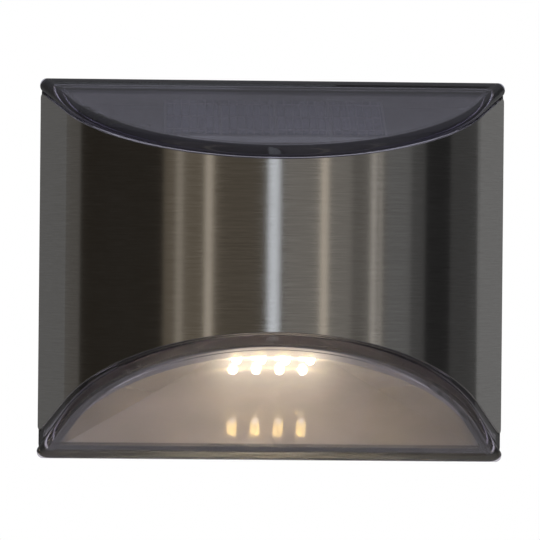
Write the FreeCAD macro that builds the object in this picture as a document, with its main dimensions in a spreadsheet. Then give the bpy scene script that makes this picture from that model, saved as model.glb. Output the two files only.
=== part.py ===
"""Solar fence light: a curved steel front between two smoked clear windows, hung on a wall bracket.

Millimetres. The origin is the middle of the bracket's two screw holes, on the wall plane.
+X is to the right seen from the front, +Y goes into the wall, +Z is up.
"""

import FreeCAD, Part
import math
import os
import re
import Sketcher

from FreeCAD import Placement, Rotation, Vector

SIZES = {
    # steel front: in plan an arc that runs into a flat wing at each end, with a sloping edge above and below
    "cover_radius": 65.2,
    "cover_front": 61.0,
    "cover_thick": 0.8,
    "cover_back": 1.5,
    "wing_turn": 67.3,
    "wing_corner": 1.2,
    "cover_top": 52.2,
    "cover_top_slope": 19.0,
    "cover_bottom": -49.0,
    "cover_bottom_slope": 27.5,
    # windows: heights of their faces on the wall plane, and the slopes of those faces
    "lens_radius": 65.4,
    "lens_round": 1.4,
    "rim_width": 3.2,
    "rim_step": 0.6,
    "skirt_radius": 64.2,
    "neck_radius": 64.8,
    "skirt_inner": 62.6,
    "skirt_depth": 5.0,
    "top_outer": 56.4,
    "top_outer_slope": 19.6,
    "top_inner": 52.1,
    "top_inner_slope": 18.8,
    "bottom_outer": -56.8,
    "bottom_outer_slope": 30.6,
    "bottom_inner": -52.8,
    "bottom_inner_slope": 30.1,
    # seals and the trays behind the windows
    "tray_radius": 62.3,
    "seal_width": 1.8,
    "top_seal": 1.1,
    "bottom_seal": 0.8,
    "tray_back": 2.4,
    "tray_drop": 3.8,
    "tray_thick": 1.6,
    # solar panel
    "panel_width": 64.0,
    "panel_near": 6.2,
    "panel_far": 40.8,
    "panel_thick": 1.4,
    "cell_thick": 0.5,
    "cell_width": 15.0,
    "cell_pitch": 15.8,
    "cell_margin": 1.6,
    # reflector: border, opening in it, flat back plate and the recess for the lights
    "flange_thick": 1.2,
    "mouth_radius": 63.6,
    "mouth_centre": 13.6,
    "mouth_near": 4.4,
    "mouth_part": 17.5,
    "plate_depth": 3.4,
    "plate_bottom": -50.3,
    "plate_top": -26.0,
    "plate_bottom_half": 61.0,
    "plate_top_half": 17.5,
    "reflector_wall": 1.0,
    "recess_half": 17.0,
    "recess_near": 27.0,
    "recess_far": 37.0,
    "recess_top": -20.5,
    # lights
    "light_pitch": 7.0,
    "light_depth": 32.0,
    "light_radius": 1.5,
    "light_tip": -26.0,
    "light_board_thick": 1.4,
    # back housing
    "back_half": 68.0,
    "back_height": 54.6,
    "back_thick": 1.5,
    "back_corner": 3.0,
    "inner_half": 60.0,
    "inner_height": 49.6,
    "inner_face": 2.2,
    # bracket, its recess and the lift that frees its hooks
    "plate_half": 21.0,
    "plate_low": -9.0,
    "plate_high": 11.5,
    "plate_thick": 1.5,
    "screw_half": 13.0,
    "screw_hole": 2.25,
    "hook_width": 8.0,
    "hook_reach": 6.5,
    "hook_tip": 17.0,
    "hook_tip_thick": 1.2,
    "lift": 8.0,
    "play": 0.3,
    "recess_depth": 3.2,
    "hook_floor": 5.0,
    "hook_cavity": 7.3,
    "pad_half": 27.0,
    "pad_low": -21.0,
    "pad_high": 19.6,
    "pad_depth": 8.8,
    # battery, its box and door
    "cell_radius": 7.25,
    "cell_half": 25.25,
    "cell_centre": 29.5,
    "cell_depth": 12.6,
    "nub_radius": 2.75,
    "nub_length": 1.0,
    "box_half": 29.5,
    "box_rise": 7.6,
    "box_depth": 20.2,
    "box_wall": 1.6,
    "ledge_half": 41.0,
    "ledge_rise": 11.2,
    "ledge_depth": 4.2,
    "door_half": 39.0,
    "door_rise": 9.8,
    "door_thick": 2.0,
    "door_rib_depth": 4.4,
    "door_rib_wall": 1.2,
    "door_seal_half": 32.0,
    "door_seal_rise": 8.8,
    "door_seal_depth": 3.0,
    "door_screw_at": 35.6,
    "door_screw_shank": 1.2,
    "door_screw_head": 2.6,
    "door_screw_depth": 8.0,
    "door_post": 3.0,
    "door_post_depth": 10.0,
    "grip_pitch": 2.4,
    "grip_half": 0.6,
    "grip_rise": 4.0,
    "tag_near": 12.5,
    "tag_far": 11.9,
    "tag_low": 25.0,
    "tag_high": 27.0,
    "contact_half": 6.0,
    "contact_rise": 5.5,
    "contact_thick": 0.6,
    # switch
    "switch_at": 45.0,
    "switch_travel": 3.0,
    "knob_half": 1.45,
    "knob_rise": 1.2,
    "foot_half": 2.1,
    "foot_rise": 1.6,
    "switch_play": 0.3,
    "switch_pad_half": 9.5,
    "switch_pad_rise": 7.0,
    "switch_well_half": 7.5,
    "switch_well_rise": 5.0,
    "switch_well_depth": 1.8,
    "switch_near": 3.4,
    "switch_far": 8.4,
    "switch_body_half": 7.0,
    "switch_body_rise": 3.6,
    # corner screws
    "corner_at": 50.0,
    "corner_high": 38.5,
    "corner_low": -34.0,
    "corner_boss": 3.2,
    "corner_shank": 1.4,
    "corner_head": 2.8,
    "boss_depth": 12.4,
    "rib_start": 2.0,
    "tray_rib": 4.7,
    "tub_rib": 9.0,
    # screw heads, flush with the back, and their cross recess
    "head_face": 0.2,
    "head_seat": 1.3,
    "cross_half": 1.4,
    "cross_slot": 0.3,
    "cross_depth": 0.8,
    # circuit board
    "board_left": -60.0,
    "board_right": -33.0,
    "board_low": -12.0,
    "board_high": 14.0,
    "board_near": 5.0,
    "board_far": 6.6,
    "board_inset": 2.5,
    "board_post": 1.8,
    "wire_radius": 0.6,
}
REACH = 90.0  # half the width of the blocks that trim the others
DEEP = 160.0  # how far such a block goes beyond its face
TALL = 62.0  # half the height of the columns that they trim
SIDES = (-1, 1)
BOARD_POSTS = [
    ("board_left + board_inset", "board_low + board_inset"),
    ("board_right - board_inset", "board_low + board_inset"),
    ("board_left + board_inset", "board_high - board_inset"),
    ("board_right - board_inset", "board_high - board_inset"),
]
WIRE_AT = (-37.0, 24.0)  # where the panel's wires go down through the tray: x, and depth in front of the wall
BEND = 0.45  # each wire bend's share of the shorter run beside it
ROUTES = {
    "solar_leads": [
        [(-37.8, -24.0, 38.3), (-37.8, -24.0, 24.0), (-42.0, -14.0, 10.0), (-42.0, -6.6, 10.0)],
        [(-36.2, -24.0, 38.8), (-36.2, -24.0, 22.0), (-38.5, -13.0, 10.0), (-38.5, -6.6, 10.0)],
    ],
    "led_leads": [
        [(-10.0, -30.0, -18.1), (-10.0, -30.0, -8.0), (-36.0, -17.0, -9.0), (-44.0, -14.0, -9.0),
         (-44.0, -6.6, -9.0)],
        [(-7.0, -34.0, -18.1), (-7.0, -34.0, -5.0), (-36.0, -20.0, -5.5), (-47.0, -14.0, -5.5),
         (-47.0, -6.6, -5.5)],
    ],
    "battery_leads": [
        [(-33.0, -12.8, 26.0), (-38.0, -15.0, 22.0), (-50.0, -15.0, 12.0), (-50.0, -6.6, 12.0)],
        [(33.0, -12.8, 26.0), (37.0, -16.0, 18.0), (20.0, -16.0, 4.0), (-26.0, -16.0, 0.0),
         (-36.0, -12.0, 0.0), (-36.0, -6.6, 0.0)],
    ],
    "switch_leads": [
        [(46.0, -8.4, 1.8), (46.0, -14.0, 1.8), (20.0, -13.0, -3.0), (-24.0, -13.0, -6.0),
         (-37.0, -12.0, -3.5), (-37.0, -6.6, -3.5)],
        [(46.0, -8.4, -1.8), (46.0, -12.0, -1.8), (20.0, -11.0, -8.0), (-24.0, -11.0, -10.5),
         (-36.0, -12.0, -9.0), (-36.0, -6.6, -9.0)],
    ],
}

doc = FreeCAD.newDocument("fence_light")
sheet = doc.addObject("Spreadsheet::Sheet", "sizes")
for row, (alias, value) in enumerate(SIZES.items(), 1):
    sheet.set(f"A{row}", alias.replace("_", " "))
    sheet.set(f"B{row}", str(value))
    sheet.setAlias(f"B{row}", alias)
doc.recompute()
NODES = []


def size(alias):
    """The number in the sheet's cell of that name."""
    return float(sheet.get(alias))


def bind(thing, prop, formula):
    """Ties a property to a formula of the sheet's aliases."""
    named = re.sub(r"[a-z][a-z_]+", lambda m: f"sizes.{m[0]}" if m[0] in SIZES else m[0], str(formula))
    thing.setExpression(prop, named)
    return thing


def block(name, x, y, z):
    """A box between two formulas along each axis."""
    made = doc.addObject("Part::Box", name)
    for side, axis, (low, high) in zip(("Length", "Width", "Height"), "xyz", (x, y, z)):
        bind(made, side, f"({high}) - ({low})")
        bind(made, f"Placement.Base.{axis}", low)
    return made


def tilted(name, x, v, w, height, slope):
    """A box along a plane that meets the wall at that height and rises towards it by slope degrees.

    v runs along the plane towards the wall, from 0 on the wall, and w stands up from it.
    """
    made = doc.addObject("Part::Box", name)
    for side, (low, high) in zip(("Length", "Width", "Height"), (x, v, w)):
        bind(made, side, f"({high}) - ({low})")
    made.Placement = Placement(Vector(), Rotation(Vector(1, 0, 0), 10))
    turn = f"(({slope}) * 1deg)"
    bind(made, "Placement.Rotation.Angle", f"({slope}) * 1deg")
    bind(made, "Placement.Base.x", x[0])
    bind(made, "Placement.Base.y", f"({v[0]}) * cos({turn}) - ({w[0]}) * sin({turn})")
    bind(made, "Placement.Base.z", f"({height}) + ({v[0]}) * sin({turn}) + ({w[0]}) * cos({turn})")
    return made


def rod(name, radius, start, length, axis="z"):
    """A cylinder from a start point, along one axis."""
    made = doc.addObject("Part::Cylinder", name)
    turns = {"x": Rotation(Vector(0, 1, 0), 90), "y": Rotation(Vector(1, 0, 0), -90), "z": Rotation()}
    made.Placement = Placement(Vector(), turns[axis])
    bind(made, "Radius", radius)
    bind(made, "Height", length)
    for letter, formula in zip("xyz", start):
        bind(made, f"Placement.Base.{letter}", formula)
    return made


def fuse(name, *shapes):
    made = doc.addObject("Part::MultiFuse", name)
    made.Shapes = list(shapes)
    made.Refine = True
    return made


def cut(name, base, *tools):
    made = doc.addObject("Part::Cut", name)
    made.Base = base
    made.Tool = tools[0] if len(tools) == 1 else fuse(f"{name}_tools", *tools)
    made.Refine = True
    return made


def common(name, *shapes):
    made = doc.addObject("Part::MultiCommon", name)
    made.Shapes = list(shapes)
    return made


def node(thing, label):
    """Marks a finished sub-part: its label names its file."""
    thing.Label = label
    NODES.append(thing)
    return thing


def half_round(name, radius, back):
    """The column in front of the wall with the cover's outline, grown to that radius."""
    made = doc.addObject("Part::Extrusion", name)
    made.Base = doc.addObject("Part::Feature", f"{name}_outline")
    made.Base.Shape = plan_wire(evaluate(radius), evaluate(back))
    made.DirMode = "Custom"
    made.Dir = Vector(0, 0, 1)
    made.LengthFwd = made.LengthRev = TALL
    made.Solid = True
    return made


def plan_wire(radius, back):
    """The outline in plan: an arc, and at each end of it a straight wing that leaves it without a crease."""
    turn = math.radians(size("wing_turn"))
    centre = size("cover_radius") - size("cover_front")
    bend = Vector(radius * math.sin(turn), centre - radius * math.cos(turn), 0)
    wing = (-back - bend.y) / math.sin(turn)
    right = bend + Vector(math.cos(turn), math.sin(turn), 0) * wing
    opposite = Vector(-bend.x, bend.y, 0)
    left = Vector(-right.x, right.y, 0)
    arc = Part.Arc(bend, Vector(0, centre - radius, 0), opposite).toShape()
    return Part.Wire([Part.makeLine(right, bend), arc, Part.makeLine(opposite, left), Part.makeLine(left, right)])


def above(name, height, slope, lift=0):
    """Everything above a sloping plane that meets the wall at that height."""
    return tilted(name, (-REACH, REACH), (-DEEP, REACH), (lift, f"({lift}) + {DEEP}"), height, slope)


def below(name, height, slope, lift=0):
    """Everything below that plane."""
    return tilted(name, (-REACH, REACH), (-DEEP, REACH), (f"({lift}) - {DEEP}", lift), height, slope)


def rounded(name, base, radius, wanted):
    """Fillets the edges that the test picks."""
    doc.recompute()
    made = doc.addObject("Part::Fillet", name)
    made.Base = base
    picked = [i for i, edge in enumerate(base.Shape.Edges, 1) if wanted(edge)]
    made.Edges = [(i, radius, radius) for i in picked]
    return made


def make_cover():
    ring = cut("cover_ring", half_round("cover_outer", "cover_radius", "cover_back"),
               half_round("cover_inner", "cover_radius - cover_thick", 0))
    trimmed = cut("cover_trimmed", ring,
                  above("cover_above", "cover_top", "cover_top_slope"),
                  below("cover_below", "cover_bottom", "-cover_bottom_slope"))
    back = -size("cover_back")

    def corner(edge):
        box = edge.BoundBox
        return box.YMin > back - 0.01 and box.ZLength < 0.01 and edge.Length < 2

    node(rounded("front_cover", trimmed, size("wing_corner"), corner), "front_cover")


def make_lens(side):
    """A window with a rolled rim, a shallow step inside it and a skirt that goes into the cover."""
    up = side == "top"
    sign = "" if up else "-"
    outer, inner = f"{side}_outer", f"{side}_inner"
    outer_slope, inner_slope = f"{sign}{outer}_slope", f"{sign}{inner}_slope"
    beyond, behind = (above, below) if up else (below, above)
    slab = cut(f"{side}_slab", half_round(f"{side}_disc", "lens_radius", "cover_back"),
               beyond(f"{side}_beyond", outer, outer_slope),
               behind(f"{side}_behind", inner, inner_slope))
    rolled = rounded(f"{side}_rolled", slab, size("lens_round"),
                     lambda edge: edge.BoundBox.YLength > 20)
    step_face = "-rim_step" if up else "rim_step"
    step = common(f"{side}_step",
                  half_round(f"{side}_step_disc", "lens_radius - rim_width", "cover_back + rim_width"),
                  beyond(f"{side}_step_depth", outer, outer_slope, step_face))
    skirt_out = half_round(f"{side}_skirt_disc", "skirt_radius", "cover_back")
    skirt_in = half_round(f"{side}_skirt_hollow", "skirt_inner", 0)
    depth = "-skirt_depth" if up else "skirt_depth"
    far_slope = f"{sign}cover_{side}_slope"
    skirt = cut(f"{side}_skirt", skirt_out, skirt_in,
                beyond(f"{side}_skirt_start", inner, inner_slope),
                behind(f"{side}_skirt_end", f"cover_{side}", far_slope, depth))
    neck = cut(f"{side}_neck", half_round(f"{side}_neck_disc", "neck_radius", "cover_back"),
               half_round(f"{side}_neck_hollow", "skirt_inner", 0),
               beyond(f"{side}_neck_start", inner, inner_slope),
               behind(f"{side}_neck_end", f"cover_{side}", far_slope))
    body = fuse(f"{side}_body", rolled, skirt, neck)
    node(cut(f"{side}_lens", body, step), f"{side}_lens")


def make_seal(side):
    up = side == "top"
    slope = "top_inner_slope" if up else "-bottom_inner_slope"
    low, high = ("-top_seal", 0) if up else (0, "bottom_seal")
    ring = cut(f"{side}_seal_ring", half_round(f"{side}_seal_disc", "tray_radius", "tray_back"),
               half_round(f"{side}_seal_hollow", "tray_radius - seal_width", "tray_back + seal_width"))
    layer = tilted(f"{side}_seal_layer", (-REACH, REACH), (-DEEP, REACH), (low, high), f"{side}_inner", slope)
    node(common(f"{side}_gasket", ring, layer), f"{side}_gasket")


def in_tray(name, x, v, w):
    return tilted(name, x, v, w, "top_inner", "top_inner_slope")


def make_solar():
    everywhere = (-REACH, REACH)
    disc = half_round("tray_disc", "tray_radius", "tray_back")
    floor = common("tray_floor", disc,
                   in_tray("tray_layer", everywhere, (-DEEP, REACH), ("-(tray_drop + tray_thick)", "-tray_drop")))
    rim_ring = cut("tray_rim_ring", half_round("tray_rim_disc", "tray_radius", "tray_back"),
                   half_round("tray_rim_hollow", "tray_radius - seal_width", "tray_back + seal_width"))
    rim = common("tray_rim", rim_ring,
                 in_tray("tray_rim_layer", everywhere, (-DEEP, REACH), ("-tray_drop", "-top_seal")))
    rib = ("corner_high + rib_start", "corner_high + tray_rib")
    posts = [part for sign in SIDES for part in boss(f"tray_{sign + 2}", sign, "corner_high", rib)]
    holes = [screw_hole(f"tray_{sign + 2}", sign, "corner_high") for sign in SIDES]
    wire_hole = rod("tray_wire_hole", "wire_radius * 2.5", (WIRE_AT[0], -WIRE_AT[1], 20), 40)
    node(cut("solar_tray", fuse("tray_body", floor, rim, *posts), wire_hole, *holes), "solar_tray")
    half = "panel_width / 2"
    board_top = "-(tray_drop - panel_thick)"
    node(in_tray("solar_board", (f"-{half}", half), ("-panel_far", "-panel_near"), ("-tray_drop", board_top)),
         "solar_board")
    strips = []
    for i in range(4):
        middle = f"{i - 1.5} * cell_pitch"
        strips.append(in_tray(f"strip_{i + 1}", (f"{middle} - cell_width / 2", f"{middle} + cell_width / 2"),
                              ("-panel_far + cell_margin", "-panel_near - cell_margin"),
                              (board_top, f"{board_top} + cell_thick")))
    group("solar_cells", strips)


def boss(name, sign, height, rib):
    """A screw boss at one corner of the back, and the rib that carries it."""
    x = f"{sign} * corner_at"
    post = rod(f"{name}_post", "corner_boss", (x, "-boss_depth", height), "boss_depth - tray_back", "y")
    web = block(f"{name}_web", (f"{x} - 1", f"{x} + 1"), ("-boss_depth", "-tray_back"), rib)
    return post, web


def screw_hole(name, sign, height):
    start = (f"{sign} * corner_at", "-(boss_depth - 1)", height)
    return rod(f"{name}_hole", "corner_shank", start, "boss_depth", "y")


def mouth_wire(grow):
    """The outline of the reflector's opening, on the face of its border, grown by some millimetres."""
    tilt = math.tan(math.radians(size("bottom_inner_slope")))
    slant = math.cos(math.radians(size("bottom_inner_slope")))
    rise = size("bottom_inner") + (size("bottom_seal") - 0.01) / slant
    radius, centre, near = size("mouth_radius") + grow, size("mouth_centre"), size("mouth_near") - grow
    part = size("mouth_part") + grow

    def on_plane(x, y):
        return Vector(x, y, rise - tilt * y)

    def on_arc(x):
        return on_plane(x, centre - math.sqrt(radius**2 - x**2))

    end = math.sqrt(radius**2 - (centre + near) ** 2)
    middle = radius * math.sin((math.asin(part / radius) + math.atan2(end, centre + near)) / 2)
    corners = [on_plane(-end, -near), on_arc(-part), on_arc(part), on_plane(end, -near)]
    return Part.Wire([
        Part.Arc(corners[0], on_arc(-middle), corners[1]).toShape(),
        Part.Arc(corners[1], on_arc(0), corners[2]).toShape(),
        Part.Arc(corners[2], on_arc(middle), corners[3]).toShape(),
        Part.makeLine(corners[3], corners[0]),
    ])


def plate_wire(grow, depth):
    """The outline of the flat back plate."""
    low, high = size("plate_bottom") - grow * 0.5, size("plate_top") + grow
    wide, narrow = size("plate_bottom_half") + grow, size("plate_top_half") + grow
    corners = [Vector(x, -depth, z) for x, z in ((-wide, low), (-narrow, high), (narrow, high), (wide, low))]
    return Part.makePolygon(corners + corners[:1])


def tub(name, grow, depth):
    """The space between the opening and the back plate, with ruled sides."""
    made = doc.addObject("Part::Feature", name)
    made.Shape = Part.makeLoft([mouth_wire(grow), plate_wire(grow, depth)], True, True)
    return made


def make_reflector():
    wall = size("reflector_wall")
    plate = size("plate_depth")
    outside, inside = tub("tub_outside", wall, plate - wall), tub("tub_inside", 0, plate)
    border = common("border", half_round("border_disc", "tray_radius", "tray_back"),
                    tilted("border_layer", (-REACH, REACH), (-DEEP, REACH),
                           ("bottom_seal", "bottom_seal + flange_thick"),
                           "bottom_inner", "-bottom_inner_slope"))
    well = block("light_well", about(0, "recess_half + reflector_wall"),
                 depth("recess_near - reflector_wall", "recess_far + reflector_wall"),
                 ("recess_top - 5", "recess_top + reflector_wall"))
    hollow = block("light_hollow", about(0, "recess_half"), depth("recess_near", "recess_far"),
                   ("recess_top - 6", "recess_top"))
    rib = ("corner_low - tub_rib", "corner_low - rib_start")
    posts = [part for sign in SIDES for part in boss(f"tub_{sign + 2}", sign, "corner_low", rib)]
    holes = [screw_hole(f"tub_{sign + 2}", sign, "corner_low") for sign in SIDES]
    lights = [rod(f"light_hole_{i + 1}", "light_radius", (light_x(i), "-light_depth", "recess_top - 1"), 4)
              for i in range(4)]
    solid = fuse("reflector_solid", outside, border, well, *posts)
    under = below("tub_under", "bottom_inner", "-bottom_inner_slope", "bottom_seal")
    node(cut("reflector", solid, inside, hollow, under, *holes, *lights), "reflector")


def light_x(i):
    return f"{i - 1.5} * light_pitch"


def make_lights():
    low = "recess_top + reflector_wall"
    node(block("led_board", ("-(recess_half + 1)", "recess_half + 1"), ("-recess_far", "-recess_near"),
               (low, f"{low} + light_board_thick")), "led_board")
    for i in range(4):
        at = (light_x(i), "-light_depth")
        stem = rod(f"led_stem_{i + 1}", "light_radius", (*at, "light_tip + light_radius"),
                   f"{low} - light_tip - light_radius")
        dome = doc.addObject("Part::Sphere", f"led_dome_{i + 1}")
        bind(dome, "Radius", "light_radius")
        for axis, formula in zip("xyz", (*at, "light_tip + light_radius")):
            bind(dome, f"Placement.Base.{axis}", formula)
        node(fuse(f"led_{i + 1}", stem, dome), f"led_{i + 1}")


def sketch_on(body, name, role):
    """A sketch on one of the body's own origin planes."""
    made = body.newObject("Sketcher::SketchObject", name)
    plane = next(f for f in body.Origin.OriginFeatures if f.Role == role)
    made.AttachmentSupport = [(plane, "")]
    made.MapMode = "FlatFace"
    return made


def draw_rectangle(sketch, across, along):
    """A closed rectangle between two formulas each way."""
    corners = [(across[0], along[0]), (across[1], along[0]), (across[1], along[1]), (across[0], along[1])]
    draw_outline(sketch, corners)


def draw_outline(sketch, corners):
    """A closed outline through corners that are given by formulas."""
    points = [Vector(*(evaluate(c) for c in corner), 0) for corner in corners]
    first = sketch.GeometryCount
    for start, stop in zip(points, points[1:] + points[:1]):
        sketch.addGeometry(Part.LineSegment(start, stop), False)
    count = len(points)
    for i in range(count):
        sketch.addConstraint(Sketcher.Constraint("Coincident", first + i, 2, first + (i + 1) % count, 1))
    for i, corner in enumerate(corners):
        for kind, formula in zip(("DistanceX", "DistanceY"), corner):
            index = sketch.addConstraint(Sketcher.Constraint(kind, first + i, 1, evaluate(formula)))
            bind(sketch, f"Constraints[{index}]", formula)


def evaluate(formula):
    """The value of a formula of aliases, worked out by the sheet."""
    named = re.sub(r"[a-z][a-z_]+", lambda m: f"sizes.{m[0]}" if m[0] in SIZES else m[0], str(formula))
    return float(sheet.evalExpression(named))


def pad(body, name, sketch, length, lift=0, turned=False):
    """A pad of a sketch that starts at an offset from its plane."""
    bind(sketch, "AttachmentOffset.Base.z", lift)
    made = body.newObject("PartDesign::Pad", name)
    made.Profile = sketch
    bind(made, "Length", length)
    made.Reversed = turned
    body.Tip = made
    return made


def make_bracket():
    """A pressed steel plate. Its hooks are bent forward and up at the top edge."""
    body = doc.addObject("PartDesign::Body", "wall_bracket")
    outline = sketch_on(body, "plate_outline", "XZ_Plane")
    draw_rectangle(outline, ("-plate_half", "plate_half"), ("plate_low", "plate_high"))
    for sign in SIDES:
        centre = f"{sign} * screw_half"
        hole = Part.Circle(Vector(evaluate(centre), 0, 0), Vector(0, 0, 1), size("screw_hole"))
        index = outline.addGeometry(hole, False)
        radius = outline.addConstraint(Sketcher.Constraint("Radius", index, size("screw_hole")))
        bind(outline, f"Constraints[{radius}]", "screw_hole")
        across = outline.addConstraint(Sketcher.Constraint("DistanceX", index, 3, evaluate(centre)))
        bind(outline, f"Constraints[{across}]", centre)
        outline.addConstraint(Sketcher.Constraint("PointOnObject", index, 3, -1))
    pad(body, "plate", outline, "plate_thick")
    for sign, side in ((-1, "left"), (1, "right")):
        across = (f"{sign} * screw_half - hook_width / 2", f"{sign} * screw_half + hook_width / 2")
        arm = sketch_on(body, f"{side}_arm", "XZ_Plane")
        draw_rectangle(arm, across, ("plate_high - plate_thick", "plate_high"))
        pad(body, f"{side}_hook_arm", arm, "hook_reach")
        tip = sketch_on(body, f"{side}_tip", "XZ_Plane")
        draw_rectangle(tip, across, ("plate_high - plate_thick", "hook_tip"))
        pad(body, f"{side}_hook_tip", tip, "hook_tip_thick", "hook_reach - hook_tip_thick")
    node(body, "wall_bracket")


def depth(low, high):
    """Two depths in front of the wall, as a range along Y."""
    return (f"-({high})", f"-({low})")


def about(middle, half):
    return (f"{middle} - ({half})", f"{middle} + ({half})")


def make_housing():
    plate = block("back_plate", about(0, "back_half"), depth(0, "back_thick"), about(0, "back_height"))
    plate = rounded("back_plate_rounded", plate, size("back_corner"),
                    lambda edge: edge.BoundBox.XLength < 0.01 and edge.BoundBox.ZLength < 0.01)
    battery = "cell_centre"
    solid = fuse(
        "housing_solid", plate,
        block("back_inner", about(0, "inner_half"), depth("back_thick", "inner_face"),
              about(0, "inner_height")),
        block("bracket_pad", about(0, "pad_half"), depth("back_thick", "pad_depth"), ("pad_low", "pad_high")),
        block("battery_walls", about(0, "box_half + box_wall"), depth("back_thick", "box_depth + box_wall"),
              about(battery, "box_rise + box_wall")),
        block("door_ledge", about(0, "ledge_half"), depth("back_thick", "ledge_depth"),
              about(battery, "ledge_rise")),
        *[rod(f"door_post_{s + 2}", "door_post", (f"{s} * door_screw_at", "-door_post_depth", battery),
              "door_post_depth - inner_face", "y") for s in SIDES],
        block("switch_pad", about("switch_at", "switch_pad_half"), depth("back_thick", "switch_near"),
              about(0, "switch_pad_rise")),
        *[rod(f"board_post_{i}", "board_post", (x, "-board_near", z), "board_near - back_thick", "y")
          for i, (x, z) in enumerate(BOARD_POSTS)],
    )
    tools = hook_spaces() + door_spaces() + switch_spaces() + corner_spaces()
    node(cut("rear_housing", solid, *tools), "rear_housing")


def hook_spaces():
    """The bracket's recess, with room for its hooks and for the heads of the wall screws."""
    low = "plate_high - plate_thick - lift - 0.7"
    spaces = [block("bracket_recess", about(0, "plate_half + play"), depth(-1, "recess_depth"),
                    ("plate_low - lift - 0.5", "plate_high + play"))]
    for s in SIDES:
        across = about(f"{s} * screw_half", "hook_width / 2 + play")
        spaces += [
            block(f"hook_slot_{s + 2}", across, depth("recess_depth - 0.1", "hook_floor"),
                  (low, "plate_high + play")),
            block(f"hook_cavity_{s + 2}", across, depth("hook_floor", "hook_cavity"), (low, "hook_tip + 1.2")),
            block(f"head_room_{s + 2}", about(f"{s} * screw_half", 5.5), depth("recess_depth - 0.1", 6),
                  ("-5.5 - lift", 1.0)),
        ]
    return spaces


def door_spaces():
    """The door's rebate and seal groove, its screw holes, the battery's box and the slots for its tags."""
    battery = "cell_centre"
    spaces = [
        block("door_rebate", about(0, "door_half + play"), depth(-1, "door_thick + 0.1"),
              about(battery, "door_rise + play")),
        block("battery_space", about(0, "box_half"), depth(-1, "box_depth"), about(battery, "box_rise")),
        block("seal_groove", about(0, "door_seal_half + play"), depth("door_thick", "door_seal_depth + play"),
              about(battery, "door_seal_rise + play")),
    ]
    for s in SIDES:
        spaces += [
            rod(f"door_hole_{s + 2}", "door_screw_shank + play",
                (f"{s} * door_screw_at", "-(door_screw_depth + 0.6)", battery), "door_screw_depth + 1", "y"),
            block(f"tag_slot_{s + 2}", about(f"{s} * (box_half + 1)", 2), depth("tag_far", "tag_near"),
                  ("tag_low", "tag_high")),
        ]
    return spaces


def switch_spaces():
    slot = ("switch_at - knob_half - switch_play", "switch_at + knob_half + switch_travel + switch_play")
    return [
        block("switch_well", about("switch_at + 0.25", "switch_well_half"), depth(-1, "switch_well_depth"),
              about(0, "switch_well_rise")),
        block("switch_slot", slot, depth("switch_well_depth - 0.1", "switch_near + 0.6"),
              about(0, "knob_rise + switch_play")),
    ]


def corner_spaces():
    """A sink for the head and a bore for the shank of each corner screw."""
    spaces = []
    for s in SIDES:
        for height in ("corner_high", "corner_low"):
            at = f"{s} * corner_at"
            spaces += [
                rod(f"sink_{height}_{s + 2}", "corner_head", (at, "-head_seat", height), 3, "y"),
                rod(f"bore_{height}_{s + 2}", "corner_shank", (at, -4, height), 5, "y"),
            ]
    return spaces


def make_door():
    battery = "cell_centre"
    plate = block("door_plate", about(0, "door_half"), depth(0, "door_thick"), about(battery, "door_rise"))
    rib_half, rib_rise = "box_half - play - 0.1", "box_rise - play - 0.1"
    rib = block("door_rib_outer", about(0, rib_half), depth("door_thick", "door_rib_depth"),
                about(battery, rib_rise))
    hollow = block("door_rib_inner", about(0, f"{rib_half} - door_rib_wall"),
                   depth("door_thick", "door_rib_depth + 1"), about(battery, f"{rib_rise} - door_rib_wall"))
    grips = [block(f"grip_{i}", about(f"{i - 2} * grip_pitch", "grip_half"), depth(-1, "grip_half"),
                   about(battery, "grip_rise")) for i in range(5)]
    holes = []
    for s in SIDES:
        at = f"{s} * door_screw_at"
        holes += [rod(f"door_sink_{s + 2}", "door_screw_head", (at, "-head_seat", battery), 3, "y"),
                  rod(f"door_bore_{s + 2}", "door_screw_shank", (at, -4, battery), 5, "y")]
    node(cut("battery_door", fuse("door_body", plate, rib), hollow, *grips, *holes), "battery_door")
    seal = block("door_seal_outer", about(0, "door_seal_half"), depth("door_thick", "door_seal_depth"),
                 about(battery, "door_seal_rise"))
    inside = block("door_seal_inner", about(0, rib_half), depth("door_thick - 1", "door_seal_depth + 1"),
                   about(battery, rib_rise))
    node(cut("door_gasket", seal, inside), "door_gasket")
    group("door_screws", [screw(f"door_screw_{s + 2}", f"{s} * door_screw_at", battery, "door_screw_head",
                                "door_screw_shank", "door_screw_depth") for s in SIDES])


def screw(name, x, z, head, shank, length):
    """A screw from behind, with a flat head and a cross recess."""
    cap = rod(f"{name}_head", f"{head} - 0.2", (x, "-head_seat", z), "head_seat - head_face", "y")
    stem = rod(f"{name}_shank", shank, (x, f"-({length})", z), f"{length} - head_seat", "y")
    slot = depth("head_face - 0.1", "cross_depth")
    upright = block(f"{name}_upright", about(x, "cross_slot"), slot, about(z, "cross_half"))
    level = block(f"{name}_level", about(x, "cross_half"), slot, about(z, "cross_slot"))
    return cut(name, fuse(f"{name}_blank", cap, stem), upright, level)


def group(label, parts):
    made = doc.addObject("Part::Compound", label)
    made.Links = parts
    node(made, label)


def make_screws():
    group("housing_screws", [screw(f"{height}_{s + 2}", f"{s} * corner_at", height, "corner_head",
                                   "corner_shank", "boss_depth - 1")
                             for s in SIDES for height in ("corner_high", "corner_low")])


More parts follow.
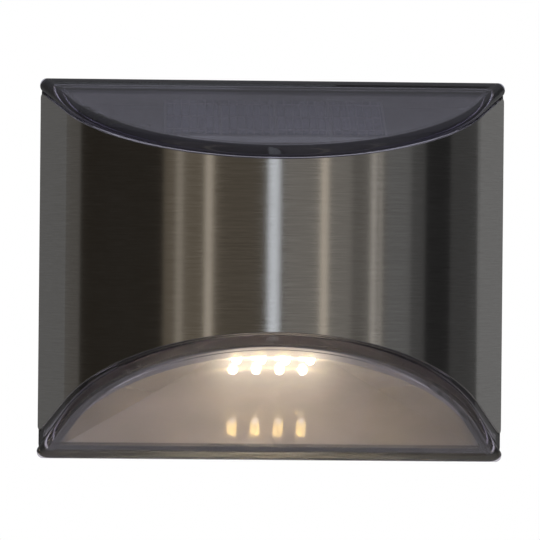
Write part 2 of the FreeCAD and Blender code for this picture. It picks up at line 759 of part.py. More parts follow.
def make_switch():
    body = block("switch_case", about("switch_at + 0.5", "switch_body_half"), depth("switch_near", "switch_far"),
                 about(0, "switch_body_rise"))
    travel = ("switch_at - foot_half - switch_play", "switch_at + foot_half + switch_travel + switch_play")
    room = block("switch_room", travel, depth("switch_near - 0.1", "switch_near + 1.7"),
                 about(0, "foot_rise + switch_play"))
    node(cut("switch_body", body, room), "switch_body")
    foot = block("switch_foot", about("switch_at", "foot_half"), depth("switch_near + 0.3", "switch_near + 1.4"),
                 about(0, "foot_rise"))
    knob = block("switch_knob", about("switch_at", "knob_half"), depth(0.6, "switch_near + 0.3"),
                 about(0, "knob_rise"))
    node(fuse("switch_slider", foot, knob), "switch_slider")


def make_battery():
    at = ("-cell_depth", "cell_centre")
    case = rod("battery_case", "cell_radius", ("-cell_half", *at), "2 * cell_half - nub_length", "x")
    nub = rod("battery_nub", "nub_radius", ("cell_half - nub_length", *at), "nub_length", "x")
    node(fuse("battery", case, nub), "battery")
    inner = "box_half - contact_thick"
    reach = f"{inner} - cell_half"
    spring = doc.addObject("Part::Cone", "minus_spring")
    spring.Placement = Placement(Vector(), Rotation(Vector(0, 1, 0), 90))
    for prop, formula in (("Radius1", 5), ("Radius2", 3), ("Height", reach)):
        bind(spring, prop, formula)
    for axis, formula in zip("xyz", (f"-({inner})", *at)):
        bind(spring, f"Placement.Base.{axis}", formula)
    make_contact("minus", spring, ("-box_half", f"-({inner})"), ("-box_half - 3.5", "-box_half + 0.3"))
    button = rod("plus_button", 2.2, ("cell_half", *at), reach, "x")
    make_contact("plus", button, (inner, "box_half"), ("box_half - 0.3", "box_half + 3.5"))


def make_contact(side, button, plate_x, tag_x):
    """A contact plate on an end wall of the box, with its spring or button and a tag through the wall."""
    plate = block(f"{side}_plate", plate_x, depth("cell_depth - contact_half", "cell_depth + contact_half"),
                  about("cell_centre", "contact_rise"))
    tag = block(f"{side}_tag", tag_x, depth("tag_far", "tag_near"), ("tag_low", "tag_high"))
    node(fuse(f"contact_{side}", plate, button, tag), f"contact_{side}")


def make_board():
    """The circuit board with one part of each kind."""
    node(block("control_board", ("board_left", "board_right"), depth("board_near", "board_far"),
               ("board_low", "board_high")), "control_board")
    node(block("control_chip", ("board_left + 8", "board_left + 13"), depth("board_far", "board_far + 1.6"),
               (-2, 2)), "control_chip")
    node(rod("inductor", 3, ("board_left + 19", "-(board_far + 5)", 4), 5, "y"), "inductor")
    node(rod("capacitor", 2, ("board_left + 20", "-(board_far + 6)", -6), 6, "y"), "capacitor")


def wire_path(points):
    """Straight runs joined by tangent arcs, each as large as its two runs allow."""
    points = [Vector(*p) for p in points]
    edges, last = [], points[0]
    for before, corner, after in zip(points, points[1:], points[2:]):
        into, out = corner - before, after - corner
        turn = into.getAngle(out)
        reach = BEND * min(into.Length, out.Length)
        into.normalize()
        out.normalize()
        start, stop = corner - into * reach, corner + out * reach
        radius = reach / math.tan(turn / 2)
        inwards = (out - into).normalize()
        middle = corner + inwards * (radius / math.cos(turn / 2) - radius)
        edges += [Part.makeLine(last, start), Part.Arc(start, middle, stop).toShape()]
        last = stop
    return Part.Wire(edges + [Part.makeLine(last, points[-1])])


def make_wires():
    for name, routes in ROUTES.items():
        tubes = []
        for points in routes:
            path = wire_path(points)
            start, along = Vector(*points[0]), Vector(*points[1]) - Vector(*points[0])
            ring = Part.Wire([Part.makeCircle(size("wire_radius"), start, along)])
            tube = path.makePipeShell([ring], True, False)
            tubes.append(tube)
        made = doc.addObject("Part::Feature", name)
        made.Shape = Part.makeCompound(tubes)
        node(made, name)


def main():
    make_bracket()
    make_housing()
    make_cover()
    for side in ("top", "bottom"):
        make_lens(side)
        make_seal(side)
    make_solar()
    make_reflector()
    make_lights()
    make_board()
    make_battery()
    make_door()
    make_switch()
    make_screws()
    make_wires()
    doc.recompute()
    bad = [o.Name for o in doc.Objects if {"Invalid", "Error"} & set(o.State)]
    bad += [n.Label for n in NODES if n.Shape.isNull() or not n.Shape.isValid() or n.Shape.Volume <= 0]
    if bad:
        raise RuntimeError(f"these did not build: {bad}")
    os.makedirs("parts", exist_ok=True)
    for made in NODES:
        made.Shape.exportStep(f"parts/{made.Label}.step")
        print(made.Label, len(made.Shape.Solids), round(made.Shape.Volume, 1))


main()
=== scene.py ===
"""Looks of the fence light: lens meshes, procedural materials, a plain studio and the photo's camera."""
import math

import bmesh
import bpy
from mathutils import Matrix, Vector


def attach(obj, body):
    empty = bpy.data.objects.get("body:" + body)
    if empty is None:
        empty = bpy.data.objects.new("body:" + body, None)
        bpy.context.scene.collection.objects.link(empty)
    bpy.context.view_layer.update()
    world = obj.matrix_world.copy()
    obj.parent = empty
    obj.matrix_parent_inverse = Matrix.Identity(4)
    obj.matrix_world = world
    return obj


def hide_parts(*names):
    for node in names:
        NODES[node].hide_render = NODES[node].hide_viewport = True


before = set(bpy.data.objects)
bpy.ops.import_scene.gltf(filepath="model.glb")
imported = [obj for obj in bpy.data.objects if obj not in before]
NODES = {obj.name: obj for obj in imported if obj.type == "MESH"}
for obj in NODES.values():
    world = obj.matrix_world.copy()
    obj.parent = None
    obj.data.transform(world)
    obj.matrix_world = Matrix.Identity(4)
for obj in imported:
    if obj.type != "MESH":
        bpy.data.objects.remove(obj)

MM = 0.001
for startup in ("Cube", "Light", "Camera"):
    if startup in bpy.data.objects:
        bpy.data.objects.remove(bpy.data.objects[startup])
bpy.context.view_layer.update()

# millimetres and degrees, in the row frame: the wall is y = 0 and the front is towards -y
COVER_AXIS = 4.2
COVER_RADIUS = 65.2
WING_TURN = math.radians(67.3)
BACK = 1.5
LENS_RADIUS = 65.4
SKIRT_OUTER = 64.2
SKIRT_INNER = 62.6
NECK = 64.8
RIM_ROUND = 1.7
RIM_WIDTH = 3.2
RIM_STEP = 0.6
# each face's height on the wall plane and the slope by which it falls towards the front
TOP_FACES = {"outer": (56.4, 19.6), "inner": (52.1, 18.8), "cover": (52.2, 19.0)}
BOTTOM_FACES = {"outer": (-56.8, -30.6), "inner": (-52.8, -30.1), "cover": (-49.0, -27.5)}
ARC_POINTS = 120
WING_POINTS = 16
BACK_POINTS = 60
RIM_TURNS = 18
CREASE = math.radians(35)
SKIRT_DEPTH = 5.0
COLLAR_GAP = 0.03
# the step from the rim down to the inset face: how far out from its foot each ring is, and how far down
STEP_RINGS = [(-0.12, RIM_STEP), (0, RIM_STEP - 0.1), (0.05, 0.1), (0.15, 0)]

# emission at the sides and the tip of a light's dome
SIDE_GLOW = 60.0
TIP_GLOW = 10000.0
# the glow round the row of lights: its emission, then half the row, its place and its fading, in metres
ROW_GLOW = 4.2
ROW_HALF = 0.0105
ROW_Y = -0.032
ROW_Z = -0.0248
ROW_FADE = 0.0044
DEPTH_SHARE = 0.1
# the tip of the reflector's coat, how far a surface faces the front to count as a back, and how far it must
# face the front to get the panel's painted highlight on its front edge
COAT_TIP = math.radians(5)
FLAT_FACING = 0.99
HIGHLIGHT_FACING = 0.7 / 0.95
# the silver lines on a cell: how far apart, in metres, and the share that each kind covers
FINGER_PITCH = 0.0023
FINGER_SHARE = 0.16
BAR_PITCH = 0.0115
BAR_SHARE = 0.1


# ---------------------------------------------------------------- materials

def new_material(name):
    """A material with an empty Principled shader: (material, tree, shader)."""
    made = bpy.data.materials.new(name)
    made.use_nodes = True
    return made, made.node_tree, made.node_tree.nodes["Principled BSDF"]


def add(tree, kind, values=None, links=None, **settings):
    """A node with its settings, the values of its sockets and the sockets that lead into it."""
    made = tree.nodes.new(kind)
    for name, value in settings.items():
        setattr(made, name, value)
    for name, value in (values or {}).items():
        made.inputs[name].default_value = value
    for name, source in (links or {}).items():
        tree.links.new(source, made.inputs[name])
    return made


def math_node(tree, operation, first, second=0.0):
    """One step of arithmetic on two values, each a number or a socket."""
    made = tree.nodes.new("ShaderNodeMath")
    made.operation = operation
    for index, value in enumerate((first, second)):
        if isinstance(value, (int, float)):
            made.inputs[index].default_value = value
        else:
            tree.links.new(value, made.inputs[index])
    return made.outputs[0]


def object_place(tree, scale=(1, 1, 1)):
    """The place on the object, stretched by a scale."""
    place = add(tree, "ShaderNodeTexCoord")
    return add(tree, "ShaderNodeMapping", {"Scale": scale}, {"Vector": place.outputs["Object"]}).outputs[0]


def noise(tree, vector, scale, detail=4.0, roughness=0.6):
    """A noise's value, mostly between 0.3 and 0.7."""
    made = add(tree, "ShaderNodeTexNoise", {"Scale": scale, "Detail": detail, "Roughness": roughness},
               {"Vector": vector})
    return made.outputs["Fac"]


def remap(tree, value, low, high, start=0.3, stop=0.7):
    """A value's span, start to stop, spread over low to high. The usual span is a noise's."""
    spans = {"From Min": start, "From Max": stop, "To Min": low, "To Max": high}
    return add(tree, "ShaderNodeMapRange", spans, {"Value": value}).outputs["Result"]


def tint(tree, value, dark, light):
    """A colour between two that have no alpha, by a value from 0 to 1."""
    return blend(tree, value, (*dark, 1), (*light, 1))


def facing(tree, direction):
    """How far the surface faces a direction: 1 straight towards it, 0 across it."""
    normal = add(tree, "ShaderNodeNewGeometry").outputs["Normal"]
    made = add(tree, "ShaderNodeVectorMath", {1: direction}, {0: normal}, operation="DOT_PRODUCT")
    return made.outputs["Value"]


def blend(tree, share, first, second):
    """A colour between two, by a share from 0 to 1. Each is a socket or a plain colour with alpha."""
    made = add(tree, "ShaderNodeMix", links={"Factor": share}, data_type="RGBA")
    for name, colour in (("A", first), ("B", second)):
        if isinstance(colour, tuple):
            made.inputs[name].default_value = colour
        else:
            tree.links.new(colour, made.inputs[name])
    return made.outputs["Result"]


def bump(tree, shader, height, strength, distance):
    """Relief from a height, on the shader's normal."""
    made = add(tree, "ShaderNodeBump", {"Strength": strength, "Distance": distance}, {"Height": height})
    tree.links.new(made.outputs[0], shader.inputs["Normal"])


def brushed_steel():
    """Steel brushed along the curve: fine streaks run round the band, and the gloss stretches across them."""
    made, tree, shader = new_material("brushed_steel")
    place = add(tree, "ShaderNodeTexCoord").outputs["Object"]
    parts = add(tree, "ShaderNodeSeparateXYZ", links={"Vector": place}).outputs
    forward = math_node(tree, "SUBTRACT", COVER_AXIS * MM, parts["Y"])
    angle = math_node(tree, "ARCTAN2", parts["X"], forward)
    along = math_node(tree, "MULTIPLY", angle, COVER_RADIUS * MM)
    flat = add(tree, "ShaderNodeCombineXYZ", links={"X": along, "Y": parts["Z"]}).outputs[0]
    hair = add(tree, "ShaderNodeMapping", {"Scale": (150, 5200, 1)}, {"Vector": flat}).outputs[0]
    streak = add(tree, "ShaderNodeMapping", {"Scale": (45, 2600, 1)}, {"Vector": flat}).outputs[0]
    cloud = add(tree, "ShaderNodeMapping", {"Scale": (40, 90, 1)}, {"Vector": flat}).outputs[0]
    fine = noise(tree, hair, 1.0, 3.0, 0.7)
    coarse = noise(tree, streak, 1.0, 4.0, 0.6)
    both = math_node(tree, "ADD", math_node(tree, "MULTIPLY", fine, 0.6),
                     math_node(tree, "MULTIPLY", coarse, 0.4))
    tree.links.new(tint(tree, remap(tree, both, 0, 1, 0.35, 0.65), (0.52, 0.505, 0.485), (0.66, 0.65, 0.635)),
                   shader.inputs["Base Color"])
    mottled = math_node(tree, "ADD", both, math_node(tree, "MULTIPLY", noise(tree, cloud, 1.0), 0.3))
    tree.links.new(remap(tree, mottled, 0.18, 0.24, 0.5, 0.8), shader.inputs["Roughness"])
    shader.inputs["Metallic"].default_value = 1.0
    shader.inputs["Anisotropic"].default_value = 0.97
    shader.inputs["Anisotropic Rotation"].default_value = 0.25
    tangent = add(tree, "ShaderNodeTangent", direction_type="RADIAL", axis="Z")
    tree.links.new(tangent.outputs[0], shader.inputs["Tangent"])
    bump(tree, shader, both, 0.12, 0.00004)
    return made


def smoked_plastic(name, colour, density, body, clearness):
    """Clear plastic with a smoky tint through its depth, a slight haze, faint flow marks and fine dust."""
    made, tree, shader = new_material(name)
    place = object_place(tree)
    cloud = noise(tree, place, 30.0, 3.0)
    dust = remap(tree, noise(tree, place, 1500.0, 2.0, 0.8), 0, 1, 0.66, 0.74)
    soft = tint(tree, remap(tree, cloud, 0, 1), [c * 0.9 for c in body], [min(1, c * 1.1) for c in body])
    tree.links.new(blend(tree, dust, soft, (1, 1, 1, 1)), shader.inputs["Base Color"])
    shader.inputs["Transmission Weight"].default_value = clearness
    shader.inputs["IOR"].default_value = 1.49
    shader.inputs["Roughness"].default_value = 0.0
    flow = noise(tree, place, 60.0, 2.0, 0.4)
    bump(tree, shader, flow, 0.02, 0.0006)
    volume = add(tree, "ShaderNodeVolumeAbsorption", {"Color": (*colour, 1), "Density": density})
    tree.links.new(volume.outputs[0], tree.nodes["Material Output"].inputs["Volume"])
    return made


def moulded(name, dark, light, gloss, grain=1800.0, depth=0.00003, strength=0.35):
    """Moulded plastic: a fine spark-eroded grain, slight cloudiness and uneven gloss."""
    made, tree, shader = new_material(name)
    place = object_place(tree)
    cloud = noise(tree, place, 90.0, 5.0)
    grainy = noise(tree, place, grain, 3.0, 0.7)
    tree.links.new(tint(tree, remap(tree, cloud, 0, 1), dark, light), shader.inputs["Base Color"])
    tree.links.new(remap(tree, cloud, gloss - 0.05, gloss + 0.07), shader.inputs["Roughness"])
    bump(tree, shader, grainy, strength, depth)
    return made


def plated(name, dark, light, gloss):
    """Plated metal with tool marks and small stains."""
    made, tree, shader = new_material(name)
    place = object_place(tree)
    stain = noise(tree, place, 400.0, 6.0)
    marks = noise(tree, object_place(tree, (6000, 900, 900)), 1.0, 3.0)
    tree.links.new(tint(tree, remap(tree, stain, 0, 1), dark, light), shader.inputs["Base Color"])
    tree.links.new(remap(tree, stain, gloss - 0.08, gloss + 0.1), shader.inputs["Roughness"])
    shader.inputs["Metallic"].default_value = 1.0
    bump(tree, shader, marks, 0.15, 0.00003)
    return made


def reflector_plastic():
    """Cream plastic with a mirror gloss, and painted shade: its slanted sides are a darker cream than its
    flat back. The coat of its upright flat back is tipped 5 degrees up.

    The tip sets the height of the lights' reflections in it.
    """
    made, tree, shader = new_material("reflector_cream")
    place = object_place(tree)
    cloud = remap(tree, noise(tree, place, 40.0, 4.0), 0, 1)
    flat = math_node(tree, "GREATER_THAN", facing(tree, (0, -1, 0)), FLAT_FACING)
    # painted shade: the slanted sides get a darker cream than the flat back, for the lesser light that falls
    # on them
    sides = tint(tree, cloud, (0.15, 0.135, 0.115), (0.185, 0.165, 0.14))
    back = tint(tree, cloud, (0.205, 0.185, 0.158), (0.24, 0.218, 0.185))
    tree.links.new(blend(tree, flat, sides, back), shader.inputs["Base Color"])
    shader.inputs["Roughness"].default_value = 0.5
    shader.inputs["Coat Weight"].default_value = 1.0
    shader.inputs["Coat Roughness"].default_value = 0.01
    shader.inputs["Coat IOR"].default_value = 3.0
    relief = add(tree, "ShaderNodeBump", {"Strength": 0.05, "Distance": 0.0002},
                 {"Height": noise(tree, place, 220.0, 3.0)}).outputs[0]
    lean = math_node(tree, "MULTIPLY", flat, math.tan(COAT_TIP))
    lift = add(tree, "ShaderNodeCombineXYZ", links={"Z": lean}).outputs[0]
    leant = add(tree, "ShaderNodeVectorMath", links={0: relief, 1: lift}, operation="ADD").outputs["Vector"]
    unit = add(tree, "ShaderNodeVectorMath", links={0: leant}, operation="NORMALIZE").outputs["Vector"]
    tree.links.new(unit, shader.inputs["Coat Normal"])
    tree.links.new(relief, shader.inputs["Normal"])
    shader.inputs["Emission Color"].default_value = (1.0, 0.88, 0.60, 1)
    tree.links.new(row_glow(tree), shader.inputs["Emission Strength"])
    return made


def row_glow(tree):
    """A glow round the row of lights, in place of the photograph's glare.

    Depth hardly counts in it, so that it also reaches the flat back behind them.
    """
    place = add(tree, "ShaderNodeTexCoord").outputs["Object"]
    parts = add(tree, "ShaderNodeSeparateXYZ", links={"Vector": place}).outputs
    across = math_node(tree, "SUBTRACT", math_node(tree, "ABSOLUTE", parts["X"]), ROW_HALF)
    past = math_node(tree, "MAXIMUM", across, 0.0)
    depth = math_node(tree, "MULTIPLY", math_node(tree, "SUBTRACT", parts["Y"], ROW_Y), DEPTH_SHARE)
    height = math_node(tree, "SUBTRACT", parts["Z"], ROW_Z)
    away = add(tree, "ShaderNodeCombineXYZ", links={"X": past, "Y": depth, "Z": height}).outputs[0]
    far = add(tree, "ShaderNodeVectorMath", links={0: away}, operation="LENGTH").outputs["Value"]
    fading = math_node(tree, "POWER", math.exp(-1), math_node(tree, "MULTIPLY", far, 1 / ROW_FADE))
    return math_node(tree, "MULTIPLY", fading, ROW_GLOW)


def light_epoxy():
    """The clear dome of a light, lit from inside: warm white, far brighter at its tip than at its sides."""
    made, tree, shader = new_material("light_dome")
    down = facing(tree, (0, 0, -1))
    swirl = math_node(tree, "MULTIPLY", noise(tree, object_place(tree), 900.0, 3.0), 0.1)
    tip = remap(tree, math_node(tree, "ADD", down, swirl), 0, 1, 0.65, 1.0)
    glow = tint(tree, tip, (1.0, 0.74, 0.24), (1.0, 0.92, 0.70))
    tree.links.new(glow, shader.inputs["Emission Color"])
    tree.links.new(glow, shader.inputs["Base Color"])
    tree.links.new(remap(tree, tip, SIDE_GLOW, TIP_GLOW, 0, 1), shader.inputs["Emission Strength"])
    shader.inputs["Roughness"].default_value = 0.1
    return made


def panel_resin():
    """The panel's dark resin, with a painted highlight: its front-facing edge is pale."""
    made, tree, shader = new_material("panel_resin")
    place = object_place(tree)
    cloud = remap(tree, noise(tree, place, 90.0, 5.0), 0, 1)
    body = tint(tree, cloud, (0.045, 0.047, 0.055), (0.065, 0.067, 0.075))
    # painted highlight: faces that look to the front get a pale colour, a light line along the panel's front
    # edge
    edge = math_node(tree, "GREATER_THAN", facing(tree, (0, -1, 0)), HIGHLIGHT_FACING)
    tree.links.new(blend(tree, edge, body, (0.42, 0.43, 0.45, 1)), shader.inputs["Base Color"])
    shader.inputs["Roughness"].default_value = 0.3
    bump(tree, shader, noise(tree, place, 700.0, 3.0, 0.7), 0.3, 0.00003)
    return made


def solar_silicon():
    """Dark blue cells: fine silver fingers across, two wider bars along, and a crystal sheen."""
    made, tree, shader = new_material("solar_silicon")
    place = add(tree, "ShaderNodeTexCoord").outputs["Object"]
    parts = add(tree, "ShaderNodeSeparateXYZ", links={"Vector": place}).outputs
    shifted = math_node(tree, "ADD", parts["X"], 1.0)
    across = math_node(tree, "FRACT", math_node(tree, "MULTIPLY", shifted, 1 / FINGER_PITCH))
    finger = math_node(tree, "LESS_THAN", across, FINGER_SHARE)
    deeper = math_node(tree, "ADD", parts["Y"], 1.0)
    down = math_node(tree, "FRACT", math_node(tree, "MULTIPLY", deeper, 1 / BAR_PITCH))
    bar = math_node(tree, "LESS_THAN", down, BAR_SHARE)
    metal = math_node(tree, "MAXIMUM", finger, bar)
    crystal = add(tree, "ShaderNodeTexVoronoi", {"Scale": 320.0}, {"Vector": place}).outputs["Color"]
    shade = add(tree, "ShaderNodeSeparateColor", links={"Color": crystal}).outputs["Red"]
    blue = tint(tree, shade, (0.006, 0.008, 0.03), (0.012, 0.02, 0.06))
    tree.links.new(blend(tree, metal, blue, (0.05, 0.052, 0.06, 1)), shader.inputs["Base Color"])
    tree.links.new(remap(tree, metal, 0.18, 0.4, 0, 1), shader.inputs["Roughness"])
    bump(tree, shader, metal, 0.3, 0.00003)
    return made


# ---------------------------------------------------------------- lens meshes

def plane_height(face, y):
    """The height of a sloping face at a depth, both in millimetres."""
    height, slope = face
    return height + math.tan(math.radians(slope)) * y


def front_line(radius, back):
    """The front's outline, grown to a radius, from right to left: a flat wing, the arc and the other wing."""
    bend = (radius * math.sin(WING_TURN), COVER_AXIS - radius * math.cos(WING_TURN))
    length = (-back - bend[1]) / math.sin(WING_TURN)
    steps = [length * (1 - i / WING_POINTS) for i in range(WING_POINTS)]
    wing = [(bend[0] + step * math.cos(WING_TURN), bend[1] + step * math.sin(WING_TURN)) for step in steps]
    turns = [WING_TURN * (1 - 2 * i / ARC_POINTS) for i in range(ARC_POINTS + 1)]
    arc = [(radius * math.sin(turn), COVER_AXIS - radius * math.cos(turn)) for turn in turns]
    return wing + arc + [(-x, y) for x, y in reversed(wing)]


def outline(radius, back):
    """The front's outline, closed by a straight line along the wall."""
    front = front_line(radius, back)
    half = front[0][0]
    return front + [(-half + 2 * half * i / BACK_POINTS, -back) for i in range(1, BACK_POINTS)]


def mesh_object(name, loops):
    """A closed skin over rings of equal length, in millimetres, with caps on its first and last."""
    shape = bmesh.new()
    rings = [[shape.verts.new(Vector(p) * MM) for p in loop] for loop in loops]
    for first, second in zip(rings, rings[1:]):
        for i in range(len(first)):
            j = (i + 1) % len(first)
            shape.faces.new((first[i], first[j], second[j], second[i]))
    shape.faces.new(rings[0])
    shape.faces.new(list(reversed(rings[-1])))
    bmesh.ops.recalc_face_normals(shape, faces=shape.faces)
    for face in shape.faces:
        face.smooth = True
    for edge in shape.edges:
        edge.smooth = edge.is_manifold and edge.calc_face_angle(0) < CREASE
    data = bpy.data.meshes.new(name)
    shape.to_mesh(data)
    shape.free()
    made = bpy.data.objects.new(name, data)
    bpy.context.scene.collection.objects.link(made)
    even = made.modifiers.new("even_shading", "WEIGHTED_NORMAL")
    even.keep_sharp = True
    even.weight = 100
    return made


def make_window(name, faces):
    """The window plate: an inset face, a rim rolled all the way round the front, and a flat inner face."""
    def ring(radius, back, share, sink=0.0):
        made = []
        for x, y in outline(radius, back):
            low, high = plane_height(faces["inner"], y), plane_height(faces["outer"], y)
            toward = 1 if high > low else -1
            made.append((x, y, low + (high - low) * share - toward * sink))
        return made

    loops = [ring(LENS_RADIUS - RIM_WIDTH + out, BACK + RIM_WIDTH - out, 1, sink) for out, sink in STEP_RINGS]
    middle = LENS_RADIUS - RIM_ROUND
    for step in range(RIM_TURNS + 1):
        turn = math.radians(90 - 180 * step / RIM_TURNS)
        loops.append(ring(middle + RIM_ROUND * math.cos(turn), BACK, 0.5 + 0.5 * math.sin(turn)))
    return mesh_object(name, loops)


def make_collar(name, faces):
    """The neck under the window's rim and the skirt that goes into the steel band."""
    inward = -1 if faces["outer"][0] > 0 else 1
    skirt = inward * SKIRT_DEPTH
    gap = inward * COLLAR_GAP
    section = [(NECK, "inner", gap), (NECK, "cover", 0), (SKIRT_OUTER, "cover", 0),
               (SKIRT_OUTER, "cover", skirt), (SKIRT_INNER, "cover", skirt), (SKIRT_INNER, "inner", gap)]
    lines = [[(x, y, plane_height(faces[face], y) + rise) for x, y in front_line(radius, BACK)]
             for radius, face, rise in section]
    loops = [list(loop) for loop in zip(*lines)]
    return mesh_object(name, loops)


def paint(thing, material):
    """One material on an object, and its slot where it has one."""
    thing.data.materials.clear()
    thing.data.materials.append(material)


smoke = {
    "top": smoked_plastic("smoked_top", (0.38, 0.34, 0.50), 75.0, (0.45, 0.45, 0.52), 0.965),
    "bottom": smoked_plastic("smoked_bottom", (0.38, 0.34, 0.50), 75.0, (0.55, 0.53, 0.58), 0.965),
}
for side, faces in (("top", TOP_FACES), ("bottom", BOTTOM_FACES)):
    for piece in (make_window(f"{side}_window", faces), make_collar(f"{side}_collar", faces)):
        paint(piece, smoke[side])
        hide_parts(f"{side}_lens")
        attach(piece, "light")
        piece.visible_shadow = False

steel = brushed_steel()
black = moulded("black_housing", (0.012, 0.012, 0.013), (0.022, 0.022, 0.024), 0.5)
rubber = moulded("seal_rubber", (0.015, 0.015, 0.015), (0.03, 0.03, 0.03), 0.75, 900.0)
screws = plated("zinc_screws", (0.42, 0.41, 0.40), (0.62, 0.61, 0.60), 0.32)
nickel = plated("nickel_contacts", (0.62, 0.60, 0.56), (0.75, 0.73, 0.70), 0.22)
sleeve = moulded("wire_sleeve", (0.02, 0.02, 0.02), (0.05, 0.05, 0.05), 0.4, 2500.0, 0.00001)
dome = light_epoxy()
PAINTS = {
    "front_cover": steel,
    "rear_housing": black,
    "battery_door": black,
    "solar_tray": black,
    "wall_bracket": moulded("bracket_powder", (0.02, 0.02, 0.022), (0.035, 0.035, 0.037), 0.5, 2600.0,
                            0.00005, 0.5),
    "reflector": reflector_plastic(),
    "solar_board": panel_resin(),
    "solar_cells": solar_silicon(),
    "led_board": moulded("board_white", (0.6, 0.6, 0.57), (0.75, 0.75, 0.72), 0.4),
    "led_1": dome,
    "led_2": dome,
    "led_3": dome,
    "led_4": dome,
    "control_board": moulded("board_green", (0.01, 0.09, 0.035), (0.02, 0.16, 0.06), 0.3),
    "control_chip": moulded("chip_black", (0.01, 0.01, 0.01), (0.02, 0.02, 0.02), 0.45),
    "inductor": plated("copper_winding", (0.55, 0.22, 0.08), (0.75, 0.36, 0.16), 0.3),
    "capacitor": moulded("capacitor_sleeve", (0.01, 0.01, 0.03), (0.02, 0.02, 0.06), 0.25),
    "battery": moulded("battery_sleeve", (0.03, 0.16, 0.08), (0.05, 0.24, 0.12), 0.25, 600.0, 0.00002, 0.2),
    "contact_minus": nickel,
    "contact_plus": nickel,
    "door_screws": screws,
    "housing_screws": screws,
    "switch_body": moulded("switch_case", (0.01, 0.01, 0.01), (0.025, 0.025, 0.025), 0.4),
    "switch_slider": moulded("switch_knob", (0.02, 0.02, 0.022), (0.04, 0.04, 0.042), 0.35),
}
for name, thing in NODES.items():
    if name.endswith("_gasket"):
        paint(thing, rubber)
    elif name.endswith("_leads"):
        paint(thing, sleeve)
    elif name in PAINTS:
        paint(thing, PAINTS[name])


# ---------------------------------------------------------------- studio

# The studio, in degrees of azimuth, 0 towards the camera. Walls: where each starts, its level, its warmth.
WALLS = [
    (-180, 0.15, 0), (-135, 0.1, 0.5), (-120, 0.02, 1.5), (-60, 0.12, 1.5), (-30, 0.08, 1.5), (5, 0.2, 0.5),
    (40, 0.12, 0.5), (60, 0.15, 0), (75, 0.08, 0), (85, 0.02, 0), (105, 0.06, 0), (135, 0.2, 0),
]
# Upright cards in front of the walls: the middle of each, its width, its level and its warmth.
CARDS = {
    "softbox": (0, 6, 0.9, -0.5),
    "left_lamp": (-34, 4, 0.5, 1),
    "left_panel": (-50, 4, 0.3, 1),
    "right_lamp": (26, 4, 0.6, 1),
    "right_tube": (53, 3, 0.5, 0.5),
    "right_edge": (57, 2, 0.4, 0.5),
}
# The ceiling, on the far side only, and the ground: their span in a direction's height, and their colour.
CEILING_SPAN = (0.35, 0.6)
CEILING_COLOUR = (0.15, 0.15, 0.16, 1)
GROUND_SPAN = (-0.4, -0.8)
GROUND_COLOUR = (0.30, 0.295, 0.29, 1)


def lit(level, warmth):
    """A grey level, made warmer or cooler."""
    return (level * (1 + 0.12 * warmth), level, level * (1 - 0.16 * warmth), 1)


def make_walls(tree, turn):
    """The colour of the room's walls, one plain strip beside the other."""
    share = remap(tree, turn, 0, 1, -math.pi, math.pi)
    ramp = add(tree, "ShaderNodeValToRGB", links={"Fac": share})
    ramp.color_ramp.interpolation = "CONSTANT"
    stops = ramp.color_ramp.elements
    stops.remove(stops[-1])
    for index, (azimuth, level, warmth) in enumerate(WALLS):
        stop = stops[0] if index == 0 else stops.new((azimuth + 180) / 360)
        stop.position = (azimuth + 180) / 360
        stop.color = lit(level, warmth)
    return ramp.outputs["Color"]


def put_card(tree, turn, room, card):
    """The room with one upright card in front of it."""
    middle, width, level, warmth = card
    off = math_node(tree, "ABSOLUTE", math_node(tree, "SUBTRACT", turn, math.radians(middle)))
    inside = math_node(tree, "LESS_THAN", off, math.radians(width / 2))
    return blend(tree, inside, room, lit(level, warmth))


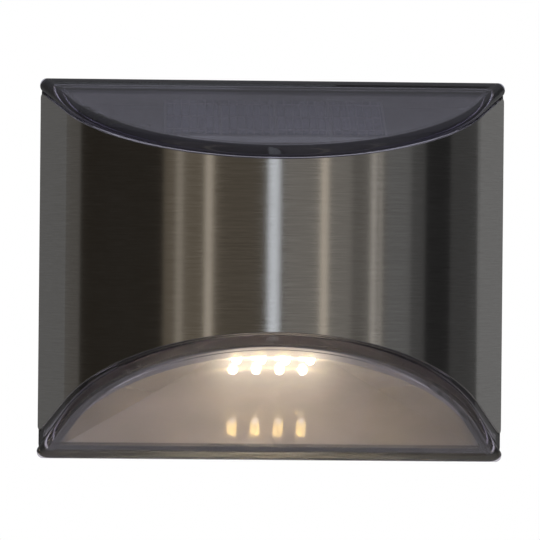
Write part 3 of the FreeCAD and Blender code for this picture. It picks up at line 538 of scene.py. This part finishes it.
def make_world():
    """White behind the object for the camera, and a dim studio of upright strips for everything else."""
    world = bpy.data.worlds.new("studio")
    bpy.context.scene.world = world
    world.use_nodes = True
    tree = world.node_tree
    place = add(tree, "ShaderNodeTexCoord").outputs["Generated"]
    parts = add(tree, "ShaderNodeSeparateXYZ", links={"Vector": place}).outputs
    turn = math_node(tree, "ARCTAN2", parts["X"], math_node(tree, "MULTIPLY", parts["Y"], -1.0))
    room = make_walls(tree, turn)
    for card in CARDS.values():
        room = put_card(tree, turn, room, card)
    behind = math_node(tree, "GREATER_THAN", parts["Y"], 0.0)
    over = math_node(tree, "MULTIPLY", remap(tree, parts["Z"], 0, 1, *CEILING_SPAN), behind)
    lifted = blend(tree, over, room, CEILING_COLOUR)
    ground = blend(tree, remap(tree, parts["Z"], 0, 1, *GROUND_SPAN), lifted, GROUND_COLOUR)
    studio = tree.nodes["Background"]
    tree.links.new(ground, studio.inputs["Color"])
    white = add(tree, "ShaderNodeBackground", {"Color": (1, 1, 1, 1), "Strength": 1.0})
    path = add(tree, "ShaderNodeLightPath").outputs
    through = math_node(tree, "MULTIPLY", path["Is Transmission Ray"], behind)
    seen = math_node(tree, "MAXIMUM", path["Is Camera Ray"], through)
    mixed = add(tree, "ShaderNodeMixShader", links={"Fac": seen})
    tree.links.new(studio.outputs[0], mixed.inputs[1])
    tree.links.new(white.outputs[0], mixed.inputs[2])
    tree.links.new(mixed.outputs[0], tree.nodes["World Output"].inputs["Surface"])


def make_lamp(name, place, size, power):
    """A soft lamp that lights colours and leaves the mirror strips to the world."""
    data = bpy.data.lights.new(name, "AREA")
    data.size = size
    data.energy = power
    lamp = bpy.data.objects.new(name, data)
    bpy.context.scene.collection.objects.link(lamp)
    lamp.location = place
    lamp.rotation_euler = (-Vector(place)).to_track_quat("-Z", "Y").to_euler()
    lamp.visible_glossy = False
    lamp.visible_transmission = False


def make_camera():
    """A long lens 1.2 m in front, a little to the left, and rolled by half a degree."""
    data = bpy.data.cameras.new("photo_camera")
    data.sensor_width = 36.0
    data.lens = 271.2
    camera = bpy.data.objects.new("photo_camera", data)
    bpy.context.scene.collection.objects.link(camera)
    bpy.context.scene.camera = camera
    yaw, roll, distance = math.radians(1.6), math.radians(0.55), 1.2
    forward = Vector((math.sin(yaw), math.cos(yaw), 0))
    turned = forward.to_track_quat("-Z", "Y").to_matrix() @ Matrix.Rotation(roll, 3, "Z")
    aim = Vector((-0.0003, 0, 0.0001))
    camera.matrix_world = Matrix.Translation(aim - forward * distance) @ turned.to_4x4()


make_world()
make_lamp("key", (-0.7, -1.5, 1.1), 1.0, 16)
make_lamp("fill", (1.2, -1.2, 0.3), 1.0, 8)
make_lamp("back", (0.5, 1.6, 1.0), 1.0, 10)
make_camera()
bpy.context.scene.view_settings.view_transform = "Standard"
